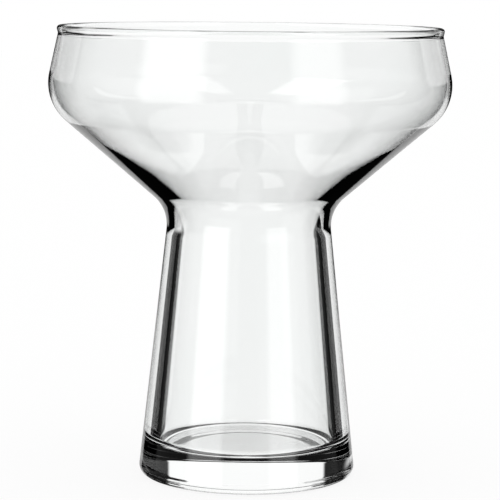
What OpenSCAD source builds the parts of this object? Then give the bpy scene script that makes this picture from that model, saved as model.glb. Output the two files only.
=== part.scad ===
// Wide coupe glass: one turned profile of clear glass, split at level planes into its named regions.
// Frame: +Z up along the axis of turning, origin on the table under the middle of the foot.

/* [Overall] */
// Height from the table to the top of the rim
height = 121; // [118:0.5:126]

/* [Foot] */
// Diameter at the table, before the heel is rounded
foot_d = 58.9; // [57:0.1:63]
// Radius of the heel, where the side turns under
heel_round = 2.5; // [2:0.1:4]
// Height of the inside floor above the table, at its middle
floor_z = 8.6; // [6:0.1:11]
// Rise of the inside floor from its middle to its edge
floor_dish = 0.05; // [0:0.05:1]
// Radius between the inside floor and the stem
floor_round = 2.4; // [1.5:0.1:5]
// Depth of the hollow under the foot
punt_depth = 0.45; // [0.3:0.05:0.6]
// Diameter of the flat middle of that hollow
punt_d = 35.4; // [28:0.2:35.6]
// Inside diameter of the ring that the glass stands on
ring_d = 42; // [41.4:0.1:46]

/* [Stem] */
// Diameter where the lines of stem and cone meet, before rounding
neck_d = 43.1; // [41:0.1:46]
// Height of that corner
neck_z = 72.1; // [68:0.05:75]
// Radius of the neck on the outside
neck_round = 10.4; // [8:0.1:12]
// Radius of the neck on the inside
neck_round_in = 14.5; // [12:0.5:16.5]
// Thickness of the stem's wall at the neck
stem_wall_top = 3.6; // [3.3:0.05:4.5]
// Thickness of the stem's wall at the foot
stem_wall_low = 4.9; // [4:0.05:5.5]

/* [Bowl] */
// Diameter where the lines of cone and wall meet, before rounding
shoulder_d = 110.3; // [109:0.1:113]
// Height of that corner
shoulder_z = 101; // [100:0.05:103]
// Radius of the shoulder on the outside
shoulder_round = 13; // [11:0.5:15]
// Radius of the shoulder on the inside
shoulder_round_in = 13; // [10:0.5:14]
// Thickness of the cone at the neck
cone_wall_low = 2.9; // [2.6:0.05:3.4]
// Thickness of the cone halfway up
cone_wall_mid = 1.5; // [1.3:0.05:1.8]
// Thickness of the cone at the shoulder
cone_wall_top = 0.9; // [0.8:0.05:1.1]
// Radius of the cone's inside where it thickens towards the neck
cone_round_in = 300; // [150:10:300]
// Thickness of the upright wall
wall_t = 0.9; // [0.8:0.05:1.3]

/* [Rim] */
// Diameter over the rim bead
rim_d = 103; // [101:0.1:105]
// Thickness of the rim bead
bead_t = 1.7; // [1.6:0.1:2.2]

/* [Hidden] */
glass_tint = [0.9, 0.95, 0.94, 0.6];
turn_sides = 180;
// Degrees of turn from one point of an arc to the next, and the turn under which a corner stays sharp
arc_step = 4;
straight_turn = 0.01;

// Radii under the foot: of the hollow's edge, and of the ring's inside edge
punt_round = 18;
ring_round = 4;

// Shape of the rim bead, in shares of its thickness: its radius, and how far its corners are below the top
bead_round_share = 0.49;
bead_out_share = 0.55;
bead_in_share = 0.75;
wall_out_share = 1.2;
wall_in_share = 1.55;
// Step from the wall out to the bead, and the radii of the small corners round the bead
bead_step = 0.3;
wall_out_round = 0.8;
bead_out_round = 0.5;
bead_in_round = 0.9;
wall_in_round = 2;

// How far the seams are from the rim's top, the shoulder's corner, the neck's corner and the floor's round
rim_drop = 5;
belly_rise = 3;
shoulder_drop = 7;
neck_rise = 4;
floor_rise = 2;
// Reach past the ends of the glass
past_end = 1;

// Level planes where one region of the glass runs into the next
rim_seam_z = height - rim_drop;
wall_seam_z = shoulder_z + belly_rise;
shoulder_seam_z = shoulder_z - shoulder_drop;
funnel_seam_z = neck_z + neck_rise;
foot_seam_z = floor_z + floor_dish + floor_round + floor_rise;

// Corners of the outside, as radius and height
foot_corner = [foot_d / 2, 0];
neck_corner = [neck_d / 2, neck_z];
shoulder_corner = [shoulder_d / 2, shoulder_z];
wall_corner = [rim_d / 2 - bead_step, height - wall_out_share * bead_t];
bead_out = rim_d / 2;
bead_in = rim_d / 2 - bead_t;
bead_round = bead_round_share * bead_t;

// Unit vector along v, the same turned a quarter to the left, and the cross product of two vectors
function unit(v) = v / norm(v);
function left_of(v) = [-v[1], v[0]];
function cross_of(u, v) = u[0] * v[1] - u[1] * v[0];

// Point where the line through a and b meets the line through c and d
function meet(a, b, c, d) = a + (b - a) * cross_of(c - a, d - c) / cross_of(b - a, d - c);

// Line from a to b moved to its left, by t_a at one end and t_b at the other
function inside_line(a, b, t_a, t_b) =
    let (side = left_of(unit(b - a)))
    [a + side * t_a, b + side * t_b];

// Point of the line through two points at height z
function at_height(line, z) =
    line[0] + (line[1] - line[0]) * (z - line[0][1]) / (line[1][1] - line[0][1]);

// Angle by which a path from a to b turns at p
function turn_at(a, p, b) = acos(min(1, unit(p - a) * unit(b - p)));

// Arc that rounds the corner p between a and b
function rounded_corner(a, p, b, radius) =
    let (
        u = unit(a - p),
        v = unit(b - p),
        turn = turn_at(a, p, b),
        centre = p + unit(u + v) * radius / cos(turn / 2),
        start = p + u * radius * tan(turn / 2) - centre,
        way = sign(cross_of(-u, v)),
        steps = max(2, ceil(turn / arc_step))
    )
    [for (i = [0:steps])
        let (w = way * turn * i / steps)
        centre + [start[0] * cos(w) - start[1] * sin(w), start[0] * sin(w) + start[1] * cos(w)]];

// A corner of the outline as its points: rounded, or left as it is where the path hardly turns
function corner_points(a, corner, b) =
    turn_at(a, corner[0], b) < straight_turn
        ? [corner[0]]
        : rounded_corner(a, corner[0], b, corner[1]);

// Outline through corners of [point, radius], with the inner ones rounded
function rounded_path(corners) =
    let (last = len(corners) - 1)
    [for (i = [0:last])
        each i == 0 || i == last
            ? [corners[i][0]]
            : corner_points(corners[i - 1][0], corners[i], corners[i + 1][0])];

// Lines and corners of the inside
stem_in = inside_line(foot_corner, neck_corner, stem_wall_low, stem_wall_top);
cone_in = inside_line(neck_corner, shoulder_corner, cone_wall_low, cone_wall_top);
wall_in = inside_line(shoulder_corner, wall_corner, wall_t, wall_t);
cone_side = left_of(unit(shoulder_corner - neck_corner));
cone_mid = (neck_corner + shoulder_corner) / 2 + cone_side * cone_wall_mid;
neck_in = meet(stem_in[0], stem_in[1], cone_in[0], cone_mid);
shoulder_in = meet(cone_mid, cone_in[1], wall_in[0], wall_in[1]);
wall_in_top = at_height(wall_in, height - wall_in_share * bead_t);
floor_corner = at_height(stem_in, floor_z + floor_dish);

outline = [
    [[0, punt_depth], 0],
    [[punt_d / 2, punt_depth], punt_round],
    [[ring_d / 2, 0], ring_round],
    [foot_corner, heel_round],
    [neck_corner, neck_round],
    [shoulder_corner, shoulder_round],
    [wall_corner, wall_out_round],
    [[bead_out, height - bead_out_share * bead_t], bead_out_round],
    [[bead_out, height], bead_round],
    [[bead_in, height], bead_round],
    [[bead_in, height - bead_in_share * bead_t], bead_in_round],
    [wall_in_top, wall_in_round],
    [shoulder_in, shoulder_round_in],
    [cone_mid, cone_round_in],
    [neck_in, neck_round_in],
    [floor_corner, floor_round],
    [[0, floor_z], 0]
];

// Half of the whole glass, cut through its axis
module half_section() {
    polygon(rounded_path(outline));
}

// The part of the glass between two heights
module glass_between(low_z, high_z) {
    color(glass_tint)
        rotate_extrude($fn = turn_sides)
            intersection() {
                half_section();
                translate([0, low_z]) square([shoulder_d, high_z - low_z]);
            }
}

// Fire-polished bead and the short wall under it
module rim() {
    glass_between(rim_seam_z, height + past_end);
}

// Upright wall, leaning in towards the rim
module wall() {
    glass_between(wall_seam_z, rim_seam_z);
}

// Rounded shoulder, from the belly down to the cone
module shoulder() {
    glass_between(shoulder_seam_z, wall_seam_z);
}

// Cone that narrows to the neck
module funnel() {
    glass_between(funnel_seam_z, shoulder_seam_z);
}

// Neck and the wide hollow stem
module stem() {
    glass_between(foot_seam_z, funnel_seam_z);
}

// Thick foot with the inside floor, the heel and the standing ring
module foot() {
    glass_between(-past_end, foot_seam_z);
}

rim();
wall();
shoulder();
funnel();
stem();
foot();
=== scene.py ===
"""Wide coupe glass in clear glass, turned about the Z axis and made as its named regions.

Frame: metres, +Z up along the axis of turning, origin on the table under the middle of the foot.
The sizes below are millimetres, and have the names that the part's source gives them.
"""

import math

import bpy
import numpy as np
from mathutils import Matrix, Vector


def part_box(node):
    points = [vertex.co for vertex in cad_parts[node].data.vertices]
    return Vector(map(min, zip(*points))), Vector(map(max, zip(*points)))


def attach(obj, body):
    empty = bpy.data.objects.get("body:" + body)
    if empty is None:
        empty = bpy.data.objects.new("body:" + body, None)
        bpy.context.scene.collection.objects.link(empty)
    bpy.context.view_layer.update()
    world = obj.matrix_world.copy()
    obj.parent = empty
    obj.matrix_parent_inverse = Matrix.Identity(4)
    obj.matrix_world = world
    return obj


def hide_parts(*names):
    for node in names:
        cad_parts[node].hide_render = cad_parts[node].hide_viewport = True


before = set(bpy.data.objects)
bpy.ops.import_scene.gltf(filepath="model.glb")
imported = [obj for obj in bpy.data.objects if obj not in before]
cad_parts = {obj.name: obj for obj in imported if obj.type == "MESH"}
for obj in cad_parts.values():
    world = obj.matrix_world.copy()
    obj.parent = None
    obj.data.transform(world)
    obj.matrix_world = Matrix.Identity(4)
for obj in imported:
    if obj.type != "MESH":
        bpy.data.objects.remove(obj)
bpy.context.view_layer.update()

MM = 0.001

# Overall
height = 121.0

# Foot
foot_d = 58.9
heel_round = 2.5
floor_z = 8.6
floor_dish = 0.05
floor_round = 2.4
punt_depth = 0.45
punt_d = 35.4
punt_round = 18.0
ring_d = 42.0
ring_round = 4.0

# Stem
neck_d = 43.1
neck_z = 72.1
neck_round = 10.4
neck_round_in = 14.5
stem_wall_top = 3.6
stem_wall_low = 4.9

# Bowl
shoulder_d = 110.3
shoulder_z = 101.0
shoulder_round = 13.0
shoulder_round_in = 13.0
cone_wall_low = 2.9
cone_wall_mid = 1.5
cone_wall_top = 0.9
cone_round_in = 300.0
wall_t = 0.9

# Rim bead
rim_d = 103.0
bead_t = 1.7
# Shares of the bead's thickness: its radius, and how far its corners are below the top
bead_round_share = 0.49
bead_out_share = 0.55
bead_in_share = 0.75
wall_out_share = 1.2
wall_in_share = 1.55
# Step from the wall out to the bead, and the radii of the small corners round the bead
bead_step = 0.3
wall_out_round = 0.8
bead_out_round = 0.5
bead_in_round = 0.9
wall_in_round = 2.0

# How finely the outline is turned, and the radius under which a point is on the axis
arc_step = math.radians(1.5)
run_step = 2.5
turn_sides = 288
axis_r = 1e-6
# Reach past the ends of the glass
past_end = 1.0

# Glass: its index of refraction, the waves per metre with their layers and depth, and its tint at the
# strongest and the weakest
glass_ior = 1.52
wave_scale = 42.0
wave_layers = 1.0
wave_depth = 0.03
tint_strong = (0.985, 1.0, 0.994, 1)
tint_weak = (0.998, 1.0, 0.999, 1)

# Camera: place, pitch and roll, and the lens in pixels of the frame
camera_back = 597.3
camera_up = 135.45
camera_side = 0.39
camera_pitch = math.radians(7.106)
camera_roll = math.radians(0.6)
lens_px = 2233.0
frame_px = 500.0
sensor_mm = 36.0

# Whites of the table and the open background, half the table's width, and its share of light of its own
table_white = (0.98, 0.98, 0.98, 1)
open_white = (1, 1, 1, 1)
table_half = 3000.0
table_glow = 0.88

# Half a turn in degrees, and a bound past any bearing or elevation, for a panel with no edge there
half_turn = 180.0
no_end = 200.0

# Light round the glass, in degrees: bright panels in a dark room. It is chosen for the look and is no one
# real room, since what shows through the glass and what its outside mirrors are set apart.
# Each row is a panel's bearing from +Y, half its width, its lowest and highest elevation, and its light.
# The first two lists show through the glass, the second with softer edges, and the third is mirrored
through_panels = [
    (0.0, 36.0, -27.5, no_end, 0.055),
    (0.0, 27.2, -no_end, no_end, 1.05),
    (0.0, 35.0, 4.0, no_end, 1.05),
]
far_panels = [
    (-90.0, 30.0, -22.0, 16.0, 0.9),
    (135.0, 30.0, -26.0, 0.0, 0.9),
    (-45.0, 20.0, -36.0, -20.0, 0.9),
]
far_edge = 6.0
mirrored_panels = [
    (0.0, 28.5, -23.0, -7.0, 0.7),
    (-44.5, 16.0, 0.5, no_end, 1.0),
    (44.5, 16.0, 0.5, no_end, 1.0),
    (0.0, no_end, -no_end, -62.0, 0.4),
]
panel_edge = 1.3
# The room's light near +Y, what is added further round, and the bearing and half-width of that change
room_dark = 0.004
room_grey = 0.15
room_grey_from = 66.0
room_grey_edge = 3.0

# Two soft windows on the camera's side, in rows of the same kind, mirrored by the outside of the glass
windows = [
    (-134.0, 19.0, -24.0, 75.0, 2.8),
    (140.0, 15.0, -24.0, 75.0, 2.2),
]
window_edge = 5.0

# Meetings with the glass after which light starts to fade, and after which it is gone
kept_until = 5.4
lost_after = 7.6
# Most meetings that are followed, with glass and with clear seams
glass_bounces = 32
seam_bounces = 64


def unit(v):
    return v / np.linalg.norm(v)


def left_of(v):
    return np.array([-v[1], v[0]])


def cross_of(u, v):
    return u[0] * v[1] - u[1] * v[0]


def point(r, z):
    return np.array([r, z], float)


def meet(line, other):
    """Point where two lines cross, each given by two of its points."""
    a, b = line
    c, d = other
    return a + (b - a) * cross_of(c - a, d - c) / cross_of(b - a, d - c)


def inside_line(a, b, t_a, t_b):
    """The line from a to b moved into the glass, by t_a at one end and t_b at the other."""
    side = left_of(unit(b - a))
    return a + side * t_a, b + side * t_b


def at_height(line, z):
    a, b = line
    return a + (b - a) * (z - a[1]) / (b[1] - a[1])


def glass_outline():
    """Corners of half the section with their radii, from under the foot over the rim to the inside floor."""
    foot = point(foot_d / 2, 0)
    neck = point(neck_d / 2, neck_z)
    shoulder = point(shoulder_d / 2, shoulder_z)
    bead_out = rim_d / 2
    bead_in = bead_out - bead_t
    bead_round = bead_round_share * bead_t
    wall_top = point(bead_out - bead_step, height - wall_out_share * bead_t)
    stem_in = inside_line(foot, neck, stem_wall_low, stem_wall_top)
    cone_in = inside_line(neck, shoulder, cone_wall_low, cone_wall_top)
    wall_in = inside_line(shoulder, wall_top, wall_t, wall_t)
    cone_mid = (neck + shoulder) / 2 + left_of(unit(shoulder - neck)) * cone_wall_mid
    return [
        (point(0, punt_depth), 0),
        (point(punt_d / 2, punt_depth), punt_round),
        (point(ring_d / 2, 0), ring_round),
        (foot, heel_round),
        (neck, neck_round),
        (shoulder, shoulder_round),
        (wall_top, wall_out_round),
        (point(bead_out, height - bead_out_share * bead_t), bead_out_round),
        (point(bead_out, height), bead_round),
        (point(bead_in, height), bead_round),
        (point(bead_in, height - bead_in_share * bead_t), bead_in_round),
        (at_height(wall_in, height - wall_in_share * bead_t), wall_in_round),
        (meet((cone_mid, cone_in[1]), wall_in), shoulder_round_in),
        (cone_mid, cone_round_in),
        (meet(stem_in, (cone_in[0], cone_mid)), neck_round_in),
        (at_height(stem_in, floor_z + floor_dish), floor_round),
        (point(0, floor_z), 0),
    ]


def straight_run(a, b):
    """Points along a straight stretch, with the way out of the glass at each."""
    out = -left_of(unit(b - a))
    steps = max(1, math.ceil(np.linalg.norm(b - a) / run_step))
    return [(a + (b - a) * i / steps, out) for i in range(steps + 1)]


def rounded_corner(a, p, b, radius):
    """Points along the arc that rounds the corner p between a and b, with the way out at each."""
    u = unit(a - p)
    v = unit(b - p)
    turn = math.acos(-u @ v)
    way = math.copysign(1, cross_of(-u, v))
    centre = p + unit(u + v) * radius / math.cos(turn / 2)
    start = unit(p + u * radius * math.tan(turn / 2) - centre)
    steps = max(2, math.ceil(turn / arc_step))
    arc = []
    for i in range(steps + 1):
        w = way * turn * i / steps
        spoke = start * math.cos(w) + left_of(start) * math.sin(w)
        arc.append((centre + spoke * radius, spoke * way))
    return arc


def turned_line(corners):
    """The outline as rows of radius, height and the way out of the glass, arcs and straights in turn."""
    arcs = [[(corners[0][0], None)]]
    for (a, _), (p, radius), (b, _) in zip(corners, corners[1:], corners[2:]):
        arcs.append(rounded_corner(a, p, b, radius))
    arcs.append([(corners[-1][0], None)])
    line = []
    for arc, following in zip(arcs, arcs[1:]):
        line += straight_run(arc[-1][0], following[0][0])
        line += following[1:-1]
    return np.array([np.concatenate(row) for row in line])


def stretch(run, low, high):
    """The part of a run between two heights, ending exactly on them."""
    kept = []
    for row, following in zip(run, run[1:]):
        if low <= row[1] <= high:
            kept.append(row)
        for z in sorted((low, high), reverse=row[1] > following[1]):
            if (row[1] - z) * (following[1] - z) < 0:
                kept.append(row + (following - row) * (z - row[1]) / (following[1] - row[1]))
    if low <= run[-1][1] <= high:
        kept.append(run[-1])
    return kept


def turn(name, outside, inside, seam_below, seam_above):
    """One region of the glass as a closed mesh, with level seam faces where it runs into its neighbours."""
    rows = np.array(list(outside) + list(inside))
    seams = set()
    if seam_above:
        seams.add(len(outside) - 1)
    if seam_below:
        seams.add(len(rows) - 1)
    angle = np.arange(turn_sides) * 2 * math.pi / turn_sides
    spin = np.stack([np.cos(angle), np.sin(angle)], 1)
    verts, ring_of, ways = [], [], []
    for r, z, out_r, out_z in rows:
        on_axis = r < axis_r
        ring_of.append((len(verts), on_axis))
        for c, s in spin[:1] if on_axis else spin:
            verts.append((r * c * MM, r * s * MM, z * MM))
        ways.append(np.column_stack([out_r * spin, np.full(turn_sides, out_z)]))
    faces, normals, is_seam = [], [], []
    last = len(rows) if seam_below else len(rows) - 1
    for i in range(last):
        k = (i + 1) % len(rows)
        (low, low_axis), (high, high_axis) = ring_of[i], ring_of[k]
        level = np.array([0, 0, 1.0 if i == len(outside) - 1 else -1.0])
        for j in range(turn_sides):
            n = (j + 1) % turn_sides
            corners = [
                (low, low_axis, i, j),
                (low, low_axis, i, n),
                (high, high_axis, k, n),
                (high, high_axis, k, j),
            ]
            if low_axis:
                corners.pop(0)
            if high_axis:
                corners.pop()
            faces.append([start if axis else start + at for start, axis, _, at in corners])
            normals += [level if i in seams else ways[row][at] for _, _, row, at in corners]
            is_seam.append(i in seams)
    mesh = bpy.data.meshes.new(name)
    mesh.from_pydata(verts, [], faces)
    mesh.polygons.foreach_set("use_smooth", [True] * len(faces))
    mesh.polygons.foreach_set("material_index", [int(s) for s in is_seam])
    mesh.normals_split_custom_set([tuple(n) for n in normals])
    mesh.update()
    piece = bpy.data.objects.new(name, mesh)
    bpy.context.scene.collection.objects.link(piece)
    return piece


def add(tree, kind, **inputs):
    """A new node with some of its inputs set, to plain values or to other nodes' outputs."""
    node = tree.nodes.new(kind)
    for name, value in inputs.items():
        plug(tree, node.inputs[name.replace("_", " ")], value)
    return node


def plug(tree, socket, value):
    if isinstance(value, bpy.types.NodeSocket):
        tree.links.new(value, socket)
    else:
        socket.default_value = value


def calc(tree, operation, *values):
    node = tree.nodes.new("ShaderNodeMath")
    node.operation = operation
    for socket, value in zip(node.inputs, values):
        plug(tree, socket, value)
    return node.outputs[0]


def mix(tree, factor, first, second):
    node = tree.nodes.new("ShaderNodeMix")
    plug(tree, node.inputs["Factor"], factor)
    plug(tree, node.inputs["A"], first)
    plug(tree, node.inputs["B"], second)
    return node.outputs["Result"]


def soft_step(tree, value, start, end):
    """Rises smoothly from 0 to 1 as the value goes from start to end."""
    node = tree.nodes.new("ShaderNodeMapRange")
    node.interpolation_type = "SMOOTHSTEP"
    plug(tree, node.inputs["Value"], value)
    plug(tree, node.inputs["From Min"], start)
    plug(tree, node.inputs["From Max"], end)
    return node.outputs["Result"]


def clear_glass():
    """Clear glass with the faint waves of hot forming, and a tint that is a little stronger in places."""
    material = bpy.data.materials.new("clear_glass")
    material.use_nodes = True
    tree = material.node_tree
    shader = tree.nodes["Principled BSDF"]
    shader.inputs["Roughness"].default_value = 0.0
    shader.inputs["IOR"].default_value = glass_ior
    shader.inputs["Transmission Weight"].default_value = 1.0
    place = tree.nodes.new("ShaderNodeTexCoord").outputs["Object"]
    waves = add(tree, "ShaderNodeTexNoise", Vector=place, Scale=wave_scale, Detail=wave_layers)
    dents = add(tree, "ShaderNodeBump", Strength=1.0, Distance=wave_depth * MM, Height=waves.outputs[0])
    tree.links.new(dents.outputs["Normal"], shader.inputs["Normal"])
    tint = tree.nodes.new("ShaderNodeValToRGB")
    tree.links.new(waves.outputs[0], tint.inputs[0])
    tint.color_ramp.elements[0].color = tint_strong
    tint.color_ramp.elements[1].color = tint_weak
    tree.links.new(tint.outputs["Color"], shader.inputs["Base Color"])
    return material


def fused_seam():
    """Level faces inside the glass, where two regions are one: nothing shows there."""
    material = bpy.data.materials.new("fused_seam")
    material.use_nodes = True
    material.node_tree.nodes["Principled BSDF"].inputs["Alpha"].default_value = 0.0
    return material


def panel(tree, bearing, elevation, centre, half_width, low, high, edge):
    """How far a direction is on a soft-edged panel: 1 on it, 0 beside it."""
    turned = calc(tree, "WRAP", calc(tree, "SUBTRACT", bearing, centre), half_turn, -half_turn)
    away = calc(tree, "ABSOLUTE", turned)
    across = soft_step(tree, away, half_width + edge, half_width - edge)
    above = soft_step(tree, elevation, low - edge, low + edge)
    below = soft_step(tree, elevation, high + edge, high - edge)
    return calc(tree, "MULTIPLY", across, calc(tree, "MULTIPLY", above, below))


def brightest(tree, light, bearing, elevation, panels, edge):
    """The room's light, or a panel's where that is brighter."""
    for centre, half_width, low, high, bright in panels:
        card = panel(tree, bearing, elevation, centre, half_width, low, high, edge)
        light = calc(tree, "MAXIMUM", light, calc(tree, "MULTIPLY", card, bright))
    return light


def light_left(tree, path):
    """What is left of the light after its meetings with the glass."""
    return soft_step(tree, path.outputs["Ray Depth"], lost_after, kept_until)


def studio():
    """The light round the glass, and the white background that the camera sees past it."""
    world = bpy.data.worlds.new("studio")
    bpy.context.scene.world = world
    world.use_nodes = True
    tree = world.node_tree
    tree.nodes.clear()
    place = tree.nodes.new("ShaderNodeTexCoord")
    x, y, z = add(tree, "ShaderNodeSeparateXYZ", Vector=place.outputs["Generated"]).outputs
    bearing = calc(tree, "DEGREES", calc(tree, "ARCTAN2", x, y))
    elevation = calc(tree, "DEGREES", calc(tree, "ARCSINE", z))
    away = calc(tree, "ABSOLUTE", bearing)
    beside = soft_step(tree, away, room_grey_from - room_grey_edge, room_grey_from + room_grey_edge)
    room = calc(tree, "MULTIPLY_ADD", beside, room_grey, room_dark)
    through = brightest(tree, room, bearing, elevation, through_panels, panel_edge)
    through = brightest(tree, through, bearing, elevation, far_panels, far_edge)
    mirrored = brightest(tree, room, bearing, elevation, mirrored_panels, panel_edge)
    mirrored = brightest(tree, mirrored, bearing, elevation, windows, window_edge)
    path = tree.nodes.new("ShaderNodeLightPath")
    strength = mix(tree, path.outputs["Is Glossy Ray"], 1.0, mirrored)
    strength = mix(tree, path.outputs["Is Transmission Ray"], strength, through)
    strength = calc(tree, "MULTIPLY", strength, light_left(tree, path))
    sky = add(tree, "ShaderNodeBackground", Color=open_white, Strength=strength)
    add(tree, "ShaderNodeOutputWorld", Surface=sky.outputs[0])


def pale_floor():
    """The table under the glass: white, with the glass's own soft shadow, and not seen through the glass."""
    size = table_half * MM
    mesh = bpy.data.meshes.new("floor")
    corners = [(-size, -size, 0), (size, -size, 0), (size, size, 0), (-size, size, 0)]
    mesh.from_pydata(corners, [], [(0, 1, 2, 3)])
    floor = bpy.data.objects.new("floor", mesh)
    bpy.context.scene.collection.objects.link(floor)
    material = bpy.data.materials.new("pale_floor")
    material.use_nodes = True
    tree = material.node_tree
    tree.nodes.clear()
    path = tree.nodes.new("ShaderNodeLightPath")
    card = add(tree, "ShaderNodeBsdfDiffuse", Color=table_white)
    glow = add(tree, "ShaderNodeEmission", Strength=1.0)
    share = calc(tree, "MULTIPLY", path.outputs["Is Camera Ray"], table_glow)
    both = tree.nodes.new("ShaderNodeMixShader")
    tree.links.new(share, both.inputs[0])
    tree.links.new(card.outputs[0], both.inputs[1])
    tree.links.new(glow.outputs[0], both.inputs[2])
    add(tree, "ShaderNodeOutputMaterial", Surface=both.outputs[0])
    floor.data.materials.append(material)
    floor.visible_transmission = False
    floor.visible_glossy = False


def photo_camera():
    data = bpy.data.cameras.new("camera")
    data.sensor_width = sensor_mm
    data.lens = sensor_mm * lens_px / frame_px
    camera = bpy.data.objects.new("camera", data)
    bpy.context.scene.collection.objects.link(camera)
    level = Matrix.Rotation(math.pi / 2 - camera_pitch, 4, "X")
    camera.matrix_world = (
        Matrix.Translation(Vector((camera_side, -camera_back, camera_up)) * MM)
        @ level
        @ Matrix.Rotation(camera_roll, 4, "Z")
    )
    bpy.context.scene.camera = camera


photo_camera()
studio()
pale_floor()

scene = bpy.context.scene
scene.view_settings.view_transform = "Standard"
scene.cycles.max_bounces = glass_bounces
scene.cycles.transmission_bounces = glass_bounces
scene.cycles.glossy_bounces = glass_bounces
scene.cycles.transparent_max_bounces = seam_bounces

line = turned_line(glass_outline())
top = int(line[:, 1].argmax()) + 1
run_out = line[:top]
run_in = line[top:]

glass = clear_glass()
seam = fused_seam()
for name in ("rim", "wall", "shoulder", "funnel", "stem", "foot"):
    low, high = (corner.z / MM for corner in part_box(name))
    is_rim = name == "rim"
    is_foot = name == "foot"
    low = -past_end if is_foot else low
    high = height + past_end if is_rim else high
    outside = stretch(run_out, low, high)
    inside = stretch(run_in, low, high)
    piece = turn("glass_" + name, outside, inside, seam_below=not is_foot, seam_above=not is_rim)
    piece.data.materials.append(glass)
    piece.data.materials.append(seam)
    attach(piece, "root")
    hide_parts(name)
